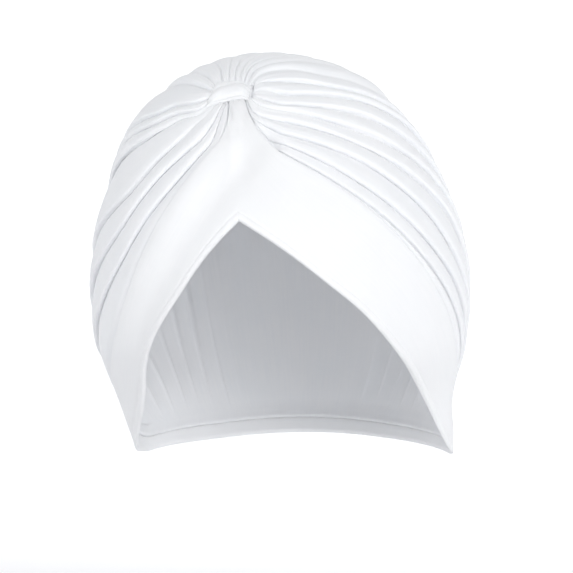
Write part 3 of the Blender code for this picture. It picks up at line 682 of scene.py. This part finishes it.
grid_size = PLEAT_STATIONS * column_count
tuck_out, tuck_in = [], []
for row in range(1, TUCK_ROWS + 1):
    beneath, beneath_level = tucked(border_top, border_hem, border_hug, full_reach * row / TUCK_ROWS)
    tuck_out.append(lift(beneath, beneath_level))
    tuck_in.append(lift(beneath, beneath_level - WALL))

numbers = numbered(places)
border = np.concatenate((numbers[:, 0], numbers[-1, 1:-1], numbers[::-1, -1]))
outer_points.reshape(-1, 3)[border] = lift(border_point, border_level)
inner_points.reshape(-1, 3)[border] = lift(border_point, border_level - WALL)

crown_points = np.concatenate([outer_points.reshape(-1, 3), inner_points.reshape(-1, 3)] + tuck_out + tuck_in)
tuck_start = 2 * grid_size
tuck_numbers = tuck_start + np.arange(2 * TUCK_ROWS * len(border)).reshape(2, TUCK_ROWS, -1)
out_lines = np.vstack((border, tuck_numbers[0]))
in_lines = np.vstack((border + grid_size, tuck_numbers[1]))
top_row = numbers[0, -2:0:-1]
knot_lines = [np.concatenate((side[::-1, -1], row, side[:, 0]))
              for side, row in ((out_lines, top_row), (in_lines, top_row + grid_size))]
crown_quads = np.concatenate((
    quads_between(numbers), quads_between(numbers + grid_size)[:, ::-1],
    quads_between(out_lines), quads_between(in_lines)[:, ::-1],
    quads_between(np.stack((out_lines[-1], in_lines[-1]))), quads_between(np.stack(knot_lines)),
))
mean_length = float(lengths.mean())


def knit_coordinates(points, quads):
    """Knit coordinates of the crown: along each pleat, and across it from the pleat's own middle line."""
    middles, sides = (lines[:-1] + lines[1:]) / 2, unit(lines[1:] - lines[:-1])
    station, column = np.divmod(quads % grid_size, column_count)
    pleat = np.minimum(column.min(axis=1) // PLEAT_COLUMNS, pleat_count - 1)[:, None]
    aside = np.sum((points[quads] - middles[pleat, station]) * sides[pleat, station], axis=2)
    coordinates = np.stack((aside + PLEAT_OFFSET * pleat, shares[station] * mean_length), axis=-1)
    under_band = (quads >= tuck_start).any(axis=1)
    coordinates[under_band] = points[quads[under_band]][..., (0, 2)]
    return coordinates


crown = closed_mesh("pleated_crown", crown_points, crown_quads, knit_coordinates(crown_points, crown_quads))
print_mesh(crown)

# %% [markdown]
# The band is doubled jersey with a soft rounded edge above and a turned hem below. Its cross-section, dense
# where it turns and sparse where it is flat, is swept round the closed loop. The hem is a slightly raised
# strip with a fine groove above it, where it is caught down from behind.

# %% Build the band
EDGE_STEPS = np.array((0.0, 0.0002, 0.0005, 0.0009, 0.0016, 0.0028, 0.0045))
HEM_STEPS = np.array((0.0068, 0.0056, 0.0050, 0.0046, 0.0042, 0.0036, 0.0028, 0.0020, 0.0013, 0.0007,
                      0.0003, 0.0))
FLAT_STEPS = 22
HEM_STRIP, HEM_BLEND = 0.0046, 0.0014   # the hem's width, and how much of it slopes off
HEM_GROOVE, GROOVE_WIDTH = 0.0002, 0.0006
HEM_HEIGHT, HEM_ROUND = 0.0003, 0.0012
EDGE_HEIGHT, EDGE_ROUND = 0.0005, 0.0011
CORNER_WIDTH = 0.015             # where the band is narrower, its edge and hem shrink with it
BEND, BEND_SHARE, RIGHT_BEND = 0.0024, 0.3, 0.2   # of the sections towards +X where they leave the knot
BEND_FADES = (0.010, 0.022), (0.018, 0.032)       # distances from the knot where it fades, right and left


def band_places(width):
    """Distances from the upper edge for each step of the section, at every station."""
    scale = np.minimum(1, width / CORNER_WIDTH)[:, None]
    edge = EDGE_STEPS * scale
    hem = width[:, None] - HEM_STEPS * scale
    k = np.arange(1, FLAT_STEPS) / FLAT_STEPS
    flat = edge[:, -1:] + (hem[:, :1] - edge[:, -1:]) * k
    return np.concatenate((edge, flat, hem), axis=1), scale


def rounded(distance, radius):
    """0 at an edge and 1 past its rounding, as a quarter circle."""
    k = np.clip(distance / radius, 0, 1)
    return np.sqrt(1 - (1 - k) ** 2)


def nearest(points, line):
    """The distance from each point of a grid to the nearest point of a line."""
    return np.array([np.linalg.norm(row[:, None] - line, axis=2).min(axis=1) for row in points])


width = rail_width[:, None]
from_edge, scale = band_places(rail_width)
from_hem = width - from_edge
share = from_edge / width
stations = np.arange(len(rail_upper))
on_left = stations > len(stations) / 2
past_middle = np.where(on_left, len(stations) - stations, -stations)
leftness = np.clip(0.5 + past_middle / (2 * TOP_STATIONS), 0, 1)
from_knot = np.linalg.norm(rail_upper - KNOT_POINT, axis=1)
fading = np.where(on_left, ease(*BEND_FADES[1], from_knot), ease(*BEND_FADES[0], from_knot))
bend = BEND * (RIGHT_BEND + (1 - RIGHT_BEND) * leftness) * (1 - fading)
bulge = bend[:, None] * share / BEND_SHARE * np.exp(1 - share / BEND_SHARE) * (1 - share)
band_base = rail_upper[:, None] * (1 - share[..., None]) + rail_lower[:, None] * share[..., None]
band_base = on_form(band_base + bulge[..., None] * (1, 0, 0))
middle_level = band_level(band_base, rail_hug[:, None], share)
to_edge = nearest(band_base, rail_upper)
thickness = band_wall(to_edge)
in_hem = from_hem / scale
hem_bead = HEM_HEIGHT * ease(0, HEM_ROUND, in_hem) * (1 - ease(HEM_STRIP - HEM_BLEND, HEM_STRIP, in_hem))
hem_groove = HEM_GROOVE * np.exp(-((in_hem - HEM_STRIP) / GROOVE_WIDTH) ** 2)
edge_bead = EDGE_HEIGHT * (1 - ease(0.002, 0.012, to_edge / scale))
edge_bead *= ease(0.008, 0.025, np.linalg.norm(band_base - KNOT_POINT, axis=-1))
roundness = np.minimum(rounded(from_edge, EDGE_ROUND), rounded(from_hem, HEM_ROUND))
half_wall = thickness / 2
band_outer = middle_level + edge_bead + hem_bead - hem_groove - half_wall * (1 - roundness)
band_inner = middle_level + EDGE_LEVEL - half_wall * (1 + roundness)
ring = np.concatenate((lift(band_base, band_outer), lift(band_base, band_inner)[:, -2:0:-1]), axis=1)
band_quads = quads_between(numbered(ring), (True, True))

runs = np.linalg.norm(np.diff((rail_upper + rail_lower) / 2, axis=0), axis=1)
around = np.concatenate(([0.0], np.cumsum(runs)))
next_around = np.append(around[1:], around[-1] + 0.001)
along_corner = np.stack((around, around, next_around, next_around), axis=-1)
knit_across = np.concatenate((from_edge, width + 0.01 + from_hem[:, -2:0:-1]), axis=1)
next_across = np.roll(knit_across, -1, axis=1)
next_across[:, -1] = knit_across[:, -1] + EDGE_STEPS[1]
across_corner = np.stack((knit_across, next_across, np.roll(next_across, -1, axis=0),
                          np.roll(knit_across, -1, axis=0)), axis=-1)
band_knit = np.stack((across_corner, np.broadcast_to(along_corner[:, None], across_corner.shape)), axis=-1)
band = closed_mesh("smooth_band", ring.reshape(-1, 3), band_quads, band_knit.reshape(-1, 2))
print_mesh(band)

# %% [markdown]
# The knot is only a short strip of the same jersey, wrapped round the gathers. It is broader at its left end,
# arched over the gathers, and has a narrow lower fold above the crease along it. Four stitches hold it down.

# %% Build the knot's wrap
WRAP_STATIONS = np.array((       # along, lower and upper edge from the knot's height
    (-0.0104, -0.0084, -0.0006),
    (-0.0085, -0.0070, 0.0036),
    (-0.0050, -0.0057, 0.0052),
    (-0.0010, -0.0048, 0.0057),
    (0.0035, -0.0043, 0.0048),
    (0.0066, -0.0043, 0.0039),
    (0.0088, -0.0046, 0.0030),
))
WRAP_CREASE = np.array((         # along, and height of the crease above the knot's height
    (-0.0104, -0.0024), (-0.0074, 0.0002), (-0.0045, 0.0020), (-0.0010, 0.0032), (0.0030, 0.0041),
    (0.0093, 0.0023),
))
WRAP_STEPS, WRAP_COLUMNS = 84, 56
WRAP_WALL, WRAP_EDGE_ROUND = 0.0007, 0.0006
LOWER_SEAT, UPPER_SEAT = -0.0003, -0.0004   # of the wrap's underside at its edges, from the cloth there
RAY_START, SEAT_SMOOTHING = 0.02, 7         # how far out rays start, steps over which the seat evens
LIP_PART, LIP_RISE = 0.16, 0.0005           # share of the way to the crease that the hem's lip takes
MAIN_RISE, UPPER_RISE = 0.0025, 0.0009
TUCK_HEIGHT, TUCK_COUNT, TUCK_SLANT = 0.00014, 4.5, 30
THICKEST = 0.0018                           # of the wrap where it is filled with the gathers
THREAD_RADIUS, THREAD_RISE, THREAD_STEPS, THREAD_SIDES = 0.00028, 0.00045, 8, 6
# Stitches that hold the wrap down. Columns: along, and heights of both ends from the knot's height
STITCHES = (
    (-0.0046, -0.0050, -0.0068),
    (-0.0014, -0.0042, -0.0064),
    (0.0018, -0.0040, -0.0064),
    (0.0048, -0.0040, -0.0065),
)

along = np.linspace(WRAP_STATIONS[0, 0], WRAP_STATIONS[-1, 0], WRAP_STEPS + 1)
edges = smooth_curve(WRAP_STATIONS[:, 0], WRAP_STATIONS[:, 1:], along)
lower_up, upper_up = edges[:, :1], edges[:, 1:]
crease_up = smooth_curve(WRAP_CREASE[:, 0], WRAP_CREASE[:, 1], along)[:, None]
k = (1 - np.cos(np.linspace(0, math.pi, WRAP_COLUMNS + 1))) / 2
up = lower_up + (upper_up - lower_up) * k
wrap_base = np.array([[front_at(KNOT_X + a, KNOT_DROP - height) for height in row]
                      for a, row in zip(along, up)])


def cloth_height(pieces, points):
    """The height above the form of the outermost cloth over points of the form."""
    shapes = bpy.context.evaluated_depsgraph_get()
    trees = [BVHTree.FromObject(piece, shapes) for piece in pieces]
    starts = lift(points, np.full(points.shape[:-1], RAY_START))
    heights = np.full(points.shape[:-1], -WALL)
    for place in np.ndindex(heights.shape):
        start, inward = Vector(starts[place]), Vector(unit(FORM_CENTRE - points[place]))
        for tree in trees:
            distance = tree.ray_cast(start, inward, 2 * RAY_START)[3]
            if distance is not None:
                heights[place] = max(heights[place], RAY_START - distance)
    return heights


def evened(values, steps):
    """A row of values with each one replaced by a mean of its neighbours, weighted to the near ones."""
    weights = np.hanning(2 * steps + 3)[1:-1]
    padded = np.pad(values, steps, mode="edge")
    return np.convolve(padded, weights / weights.sum(), mode="valid")


rims = cloth_height((crown, band), wrap_base[:, [0, -1]])
rim_seats = np.stack([evened(rims[:, side], SEAT_SMOOTHING) for side in (0, 1)], axis=-1)
print("cloth under the wrap's edges:", np.round(1000 * rim_seats[::21], 2).tolist(), "mm")
from_end = np.minimum(along - along[0], along[-1] - along)[:, None]
from_rim = np.minimum(up - lower_up, upper_up - up)
below, above = (up - lower_up) / (crease_up - lower_up), (up - crease_up) / (upper_up - crease_up)
lip = np.sin(math.pi * np.clip(below / LIP_PART, 0, 1)) ** 0.8
main_fold = np.sin(math.pi * np.clip((below - LIP_PART) / (1 - LIP_PART), 0, 1)) ** 0.55
upper_fold = np.sin(math.pi * np.clip(above, 0, 1)) ** 0.7
swell = ease(-0.001, 0.0055, from_end)
tucks = TUCK_HEIGHT * np.sin(2 * math.pi * (TUCK_COUNT * k + TUCK_SLANT * along[:, None]))
tucks *= 1 - ease(0.001, 0.007, from_end)
upper_part = ease(0.1, 0.95, k)
seat = (rim_seats[:, :1] + LOWER_SEAT) * (1 - upper_part) + (rim_seats[:, 1:] + UPPER_SEAT) * upper_part
folds = LIP_RISE * lip + MAIN_RISE * main_fold * swell + UPPER_RISE * upper_fold * swell + tucks
closing = rounded(np.minimum(from_rim, from_end + 0.0001), WRAP_EDGE_ROUND)
top = seat + WRAP_WALL * (0.5 + 0.5 * closing) + folds * closing
under = np.maximum(seat + WRAP_WALL * 0.4 * (1 - closing), top - THICKEST)
wrap_ring = np.concatenate((lift(wrap_base, top), lift(wrap_base, under)[:, ::-1]), axis=1)
numbers = numbered(wrap_ring)
wrap_quads = [quads_between(numbers, (False, True))]
for end, turned in ((numbers[0], True), (numbers[-1], False)):
    upper, lower = np.split(end, 2)
    cap = quads_between(np.stack((upper, lower[::-1])))
    wrap_quads.append(cap[:, ::-1] if turned else cap)


def stitch(a, start, end):
    """Points and quads of a thread that crosses the cloth below the wrap's edge."""
    k = np.linspace(0, 1, THREAD_STEPS + 1)
    path = np.array([front_at(KNOT_X + a, KNOT_DROP - height) for height in start + (end - start) * k])
    path = lift(path, cloth_height((crown, band), path) + THREAD_RISE * np.sin(math.pi * k) - THREAD_RADIUS)
    run = unit(np.gradient(path, axis=0))
    aside = unit(np.cross(run, path - FORM_CENTRE))
    turns = np.arange(THREAD_SIDES) * 2 * math.pi / THREAD_SIDES
    rings = path[:, None] + THREAD_RADIUS * (np.cos(turns)[:, None] * aside[:, None]
                                             + np.sin(turns)[:, None] * np.cross(aside, run)[:, None])
    numbers = numbered(rings)
    sides = quads_between(numbers.T, (True, False))
    ends = np.array((numbers[0, [0, 1, 2, 3]], numbers[0, [0, 3, 4, 5]],
                     numbers[-1, [3, 2, 1, 0]], numbers[-1, [5, 4, 3, 0]]))
    return rings.reshape(-1, 3), np.concatenate((sides, ends))


wrap_points, wrap_quads = [wrap_ring.reshape(-1, 3)], [np.concatenate(wrap_quads)]
wrap_turn = np.sign(volume(wrap_points[0], wrap_quads[0]))
for a, start, end in STITCHES:
    thread_points, thread_quads = stitch(a, start, end)
    if volume(thread_points, thread_quads) * wrap_turn < 0:
        thread_quads = thread_quads[:, ::-1]
    wrap_quads.append(thread_quads + sum(len(points) for points in wrap_points))
    wrap_points.append(thread_points)
wrap_quads, wrap_points = np.concatenate(wrap_quads), np.concatenate(wrap_points)
wrap_knit = wrap_points[wrap_quads.ravel()][:, (0, 2)]
wrap = closed_mesh("knot_strip", wrap_points, wrap_quads, wrap_knit)
print_mesh(wrap)

# %% [markdown]
# White jersey is a fine knit: columns of small V shaped loops. One shader group makes the loops' height from
# the UV map, and each cloth adds it as a bump under a soft sheen. A larger pattern gives the faint unevenness
# of the yarn, so that the white isn't one flat colour.

# %% The knit group
LOOP_SLANT, LOOP_HEIGHT, LOOP_BASE = 1.3, 0.35, 0.6


def feed(tree, node, values=None, sources=None):
    """Sets a node's inputs to values and links other nodes' outputs into them, by name or number."""
    for socket, value in (values or {}).items():
        node.inputs[socket].default_value = value
    for socket, source in (sources or {}).items():
        tree.links.new(source, node.inputs[socket])
    return node


def add_node(tree, kind, values=None, sources=None):
    """A new node with its inputs fed."""
    return feed(tree, tree.nodes.new("ShaderNode" + kind), values, sources)


def math_node(tree, operation, *terms):
    """A Math node whose inputs are numbers or other nodes' outputs; gives its output."""
    node = tree.nodes.new("ShaderNodeMath")
    node.operation = operation
    fixed = {number: term for number, term in enumerate(terms) if isinstance(term, (int, float))}
    linked = {number: term for number, term in enumerate(terms) if number not in fixed}
    return feed(tree, node, fixed, linked).outputs[0]


def make_knit_group():
    """Height of jersey loops from knit coordinates in metres."""
    group = bpy.data.node_groups.new("jersey_knit", "ShaderNodeTree")
    for name, kind in (("Knit", "Vector"), ("Wale", "Float"), ("Course", "Float")):
        group.interface.new_socket(name, in_out="INPUT", socket_type="NodeSocket" + kind)
    group.interface.new_socket("Height", in_out="OUTPUT", socket_type="NodeSocketFloat")
    start, end = group.nodes.new("NodeGroupInput"), group.nodes.new("NodeGroupOutput")
    split = add_node(group, "SeparateXYZ", sources={0: start.outputs["Knit"]})
    wale = math_node(group, "DIVIDE", split.outputs[0], start.outputs["Wale"])
    course = math_node(group, "DIVIDE", split.outputs[1], start.outputs["Course"])
    inside = math_node(group, "FRACT", wale)
    from_centre = math_node(group, "ABSOLUTE", math_node(group, "SUBTRACT", inside, 0.5))
    slant = math_node(group, "MULTIPLY_ADD", from_centre, LOOP_SLANT, course)
    loops = math_node(group, "SINE", math_node(group, "MULTIPLY", slant, 2 * math.pi))
    legs = math_node(group, "SINE", math_node(group, "MULTIPLY", from_centre, 2 * math.pi))
    body = math_node(group, "MULTIPLY_ADD", loops, LOOP_HEIGHT, LOOP_BASE)
    feed(group, end, sources={"Height": math_node(group, "MULTIPLY", body, legs)})
    return group


knit_group = make_knit_group()
print("knit group:", [socket.name for socket in knit_group.interface.items_tree])

# %% The jersey materials
WALE, COURSE = 0.00062, 0.00046
KNIT_RELIEF = 0.00006
THROUGH = 0.0012                 # how far light spreads within the cloth
CLOUD_RATE, STREAK_RATES = 38, (900, 45, 1)
SHADE_PLACE, COLOUR_PLACE = 0.12, 0.38


def jersey(name, colour, shade):
    """White knitted jersey: two close whites, a fine knit bump and a soft sheen."""
    material = bpy.data.materials.new(name)
    material.use_nodes = True
    tree = material.node_tree
    place = add_node(tree, "UVMap")
    place.uv_map = "knit"
    knit = add_node(tree, "Group")
    knit.node_tree = knit_group
    feed(tree, knit, {"Wale": WALE, "Course": COURSE}, {"Knit": place.outputs[0]})
    where = add_node(tree, "TexCoord")
    cloud = add_node(tree, "TexNoise", {"Scale": CLOUD_RATE, "Detail": 4},
                     {"Vector": where.outputs["Object"]})
    stretch = add_node(tree, "Mapping", {"Scale": STREAK_RATES}, {"Vector": place.outputs[0]})
    streaks = add_node(tree, "TexNoise", {"Scale": 1}, {"Vector": stretch.outputs[0]})
    mixed = math_node(tree, "MULTIPLY", cloud.outputs["Fac"], streaks.outputs["Fac"])
    ramp = add_node(tree, "ValToRGB", sources={"Fac": mixed})
    first, last = ramp.color_ramp.elements
    first.position, first.color = SHADE_PLACE, shade
    last.position, last.color = COLOUR_PLACE, colour
    bump = add_node(tree, "Bump", {"Strength": 0.6, "Distance": KNIT_RELIEF},
                    {"Height": knit.outputs["Height"]})
    feed(tree, tree.nodes["Principled BSDF"], {
        "Roughness": 0.85, "Specular IOR Level": 0.25, "Sheen Weight": 0.12, "Sheen Roughness": 0.45,
        "Subsurface Weight": 0.5, "Subsurface Radius": (1.0, 1.0, 1.0), "Subsurface Scale": THROUGH,
    }, {"Base Color": ramp.outputs["Color"], "Normal": bump.outputs[0]})
    return material


# Columns: piece, node of the frame, material, colour, shade
FINISHES = (
    (crown, "crown", "crown_jersey", (0.93, 0.935, 0.95, 1), (0.90, 0.91, 0.935, 1)),
    (band, "front_band", "band_jersey", (0.94, 0.945, 0.955, 1), (0.915, 0.925, 0.94, 1)),
    (wrap, "knot_wrap", "wrap_jersey", (0.935, 0.94, 0.953, 1), (0.905, 0.915, 0.935, 1)),
)
for piece, _, name, colour, shade in FINISHES:
    piece.data.materials.append(jersey(name, colour, shade))
print("materials:", [row[2] for row in FINISHES])

# %% [markdown]
# The cap is held up as a head holds it, a little above a plain pale floor that sweeps up behind it. The
# sweep's far part glows: painted light that keeps the backdrop white. One large soft light stands in front to
# the right, a weaker one to the left, and a pale surround fills the rest.

# %% Floor, light and surround
FLOOR_DROP = 0.10                # of the floor below the cap's lowest point
FLOOR_HALF_WIDTH, FLOOR_FRONT, FLOOR_BACK = 3.0, -3.0, 1.6
SWEEP_RADIUS, SWEEP_HEIGHT, SWEEP_STEPS = 0.8, 2.4, 24
# Painted light: the sweep's glow by depth, from nothing at y 0 to 0.35 past y 0.5, though the sweep is no lamp
GLOW = {"From Min": 0.0, "From Max": 0.5, "To Min": 0.0, "To Max": 0.35}      # of the sweep, by depth
SKY = {"From Min": 0.1, "From Max": 0.9, "To Min": 0.84, "To Max": 0.50}      # of the surround, by height

floor_height = cad_low.z - FLOOR_DROP
profile = [(FLOOR_FRONT, 0.0)]
for step in range(SWEEP_STEPS + 1):
    turn = math.pi / 2 * step / SWEEP_STEPS
    profile.append((FLOOR_BACK + SWEEP_RADIUS * math.sin(turn), SWEEP_RADIUS * (1 - math.cos(turn))))
profile.append((FLOOR_BACK + SWEEP_RADIUS, SWEEP_HEIGHT))
sweep_points = np.array([[(x, y, floor_height + z) for x in (-FLOOR_HALF_WIDTH, FLOOR_HALF_WIDTH)]
                         for y, z in profile]).reshape(-1, 3)
sweep_quads = quads_between(np.arange(2 * len(profile)).reshape(-1, 2))
sweep = mesh_object("pale_sweep", sweep_points, sweep_quads, sweep_points[sweep_quads.ravel()][:, :2])
paint = bpy.data.materials.new("pale_paint_and_glow")
paint.use_nodes = True
where = add_node(paint.node_tree, "TexCoord")
split = add_node(paint.node_tree, "SeparateXYZ", sources={0: where.outputs["Object"]})
glow = add_node(paint.node_tree, "MapRange", GLOW, {"Value": split.outputs["Y"]})
# Painted light: the emission makes the sweep's far part glow as if lit
feed(paint.node_tree, paint.node_tree.nodes["Principled BSDF"], {
    "Base Color": (0.93, 0.93, 0.94, 1), "Roughness": 0.9, "Specular IOR Level": 0.1,
    "Emission Color": (1, 1, 1, 1),
}, {"Emission Strength": glow.outputs[0]})
sweep.data.materials.append(paint)


def soft_light(name, place, target, size, power):
    """A large square light that looks at a point."""
    data = bpy.data.lights.new(name, "AREA")
    data.size, data.energy = size, power
    light = bpy.data.objects.new(name, data)
    light.location = place
    light.rotation_euler = (Vector(target) - Vector(place)).to_track_quat("-Z", "Y").to_euler()
    bpy.context.scene.collection.objects.link(light)


soft_light("key", (1.05, -1.56, 0.20), (0, 0, -0.10), 1.1, 13.0)
soft_light("fill", (-1.1, -1.3, 0.8), (0, 0, -0.05), 1.1, 5.6)
soft_light("backdrop", (0.0, 1.3, 1.2), (0, 2.4, 0.1), 1.2, 2.5)
world = bpy.data.worlds.new("surround")
world.use_nodes = True
upward = add_node(world.node_tree, "TexCoord")
height = add_node(world.node_tree, "SeparateXYZ", sources={0: upward.outputs["Generated"]})
fade = add_node(world.node_tree, "MapRange", SKY, {"Value": height.outputs["Z"]})
feed(world.node_tree, world.node_tree.nodes["Background"], {"Color": (0.96, 0.975, 1.0, 1)},
     {"Strength": fade.outputs[0]})
bpy.context.scene.world = world
bpy.context.scene.view_settings.view_transform = "Standard"
print("floor at", round(1000 * floor_height, 1), "mm")

# %% [markdown]
# Last, each new piece takes the place of its solid in the frame and rides on the cap's one body. The area
# of its cloth is printed.

# %% Take the places of the frame's solids
for piece, node, finish, _, _ in FINISHES:
    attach(piece, "root")
    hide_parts(node)
    area = sum(face.area for face in piece.data.polygons) / 2
    print(piece.name, "covers", round(area, 4), "square metres")
